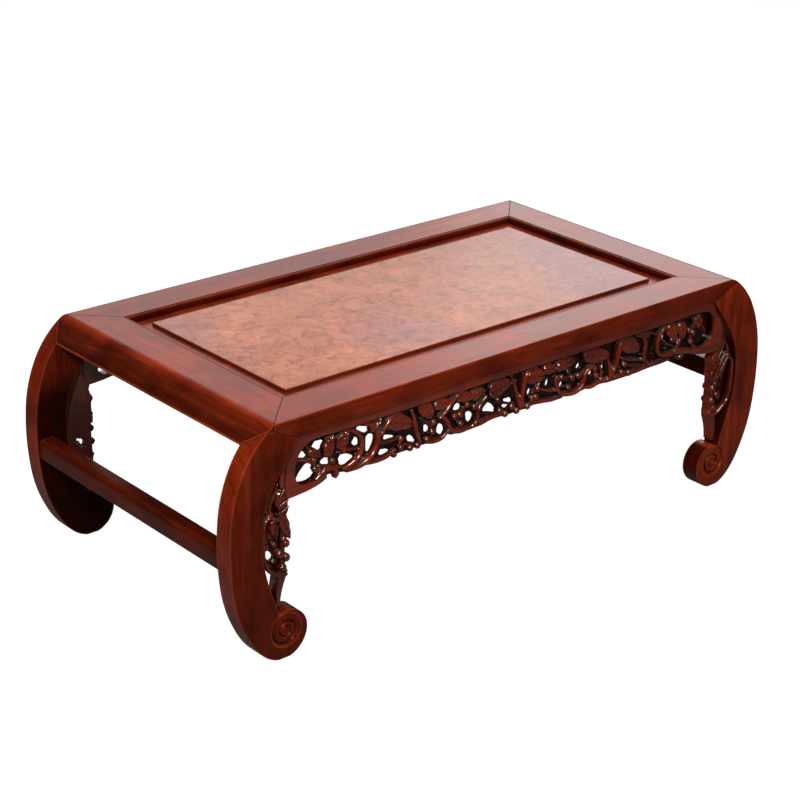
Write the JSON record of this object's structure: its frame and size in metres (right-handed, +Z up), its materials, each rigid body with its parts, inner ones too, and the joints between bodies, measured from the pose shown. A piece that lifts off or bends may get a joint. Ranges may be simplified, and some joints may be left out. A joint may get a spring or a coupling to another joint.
{
  "type": "kang table",
  "caption": "Low rectangular table with a framed burl panel top, bowed legs on scroll feet, end stretchers, and pierced grapevine aprons and corner brackets.",
  "frame": {"origin": "centre of the footprint, on the floor", "axes": "+X along the length, to the right of the front; +Y from the front to the back; +Z up"},
  "size_m": [0.923, 0.4508, 0.31],
  "materials": {
    "frame_wood": "worn satin lacquer over red-brown hardwood",
    "leg_wood": "worn satin lacquer over red-brown hardwood",
    "stretcher_wood": "hand-worn satin lacquer",
    "carved_wood": "lacquered carving, dark in the recesses",
    "panel_wood": "dark satin lacquer",
    "burl": "polished burl"
  },
  "bodies": {
    "root": {"front_rail": "frame_wood", "back_rail": "frame_wood", "left_end_rail": "frame_wood", "right_end_rail": "frame_wood", "panel_board": "panel_wood", "burl_panel": "burl", "left_batten": "panel_wood", "middle_batten": "panel_wood", "right_batten": "panel_wood", "front_left_leg": "leg_wood", "front_right_leg": "leg_wood", "back_left_leg": "leg_wood", "back_right_leg": "leg_wood", "left_stretcher": "stretcher_wood", "right_stretcher": "stretcher_wood", "front_apron": "carved_wood", "back_apron": "carved_wood", "front_left_bracket": "carved_wood", "front_right_bracket": "carved_wood", "back_left_bracket": "carved_wood", "back_right_bracket": "carved_wood"}
  },
  "joints": []
}
